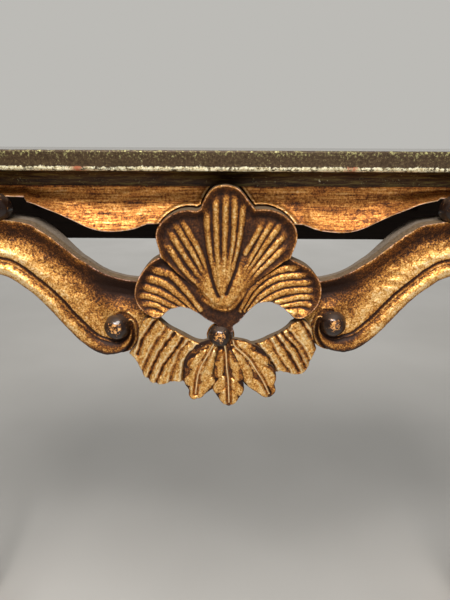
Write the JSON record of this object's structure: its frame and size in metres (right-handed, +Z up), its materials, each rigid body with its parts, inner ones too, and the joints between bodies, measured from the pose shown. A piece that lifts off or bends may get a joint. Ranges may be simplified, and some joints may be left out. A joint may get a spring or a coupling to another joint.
{
  "type": "pier table",
  "caption": "Slim carved and gilded pier table with cabriole legs, a moulded bow-fronted top and an openwork apron of scroll arms meeting at a shell.",
  "frame": {"origin": "on the floor, under the middle of the top board's length and depth", "axes": "+X to the right as seen from the front, +Y towards the wall, +Z up"},
  "size_m": [1, 0.3, 0.78],
  "materials": {
    "gilt_carving": "worn gold over dark umber patina, satin metallic",
    "dark_boss": "dark brown lacquer with traces of gold, glossy",
    "top_finish": "dark bronze paint with rubbed gold arrises",
    "bare_wood": "stained unfinished wood",
    "steel": "dull"
  },
  "bodies": {
    "root": {"top_board": "top_finish", "front_rail": "gilt_carving", "left_rail": "gilt_carving", "right_rail": "gilt_carving", "back_rail": "bare_wood", "front_right_leg": "gilt_carving", "front_left_leg": "gilt_carving", "back_right_leg": "gilt_carving", "back_left_leg": "gilt_carving", "right_arm": "gilt_carving", "left_arm": "gilt_carving", "shell": "gilt_carving", "shell_backing": "bare_wood", "right_ruffle": "gilt_carving", "left_ruffle": "gilt_carving", "leaf_spray": "gilt_carving", "centre_boss": "dark_boss", "right_volute_boss": "dark_boss", "left_volute_boss": "dark_boss", "right_knee_boss": "dark_boss", "left_knee_boss": "dark_boss", "arm_dowels": "bare_wood", "glue_blocks": "bare_wood", "top_screws": "steel", "foot_glides": "steel"}
  },
  "joints": []
}
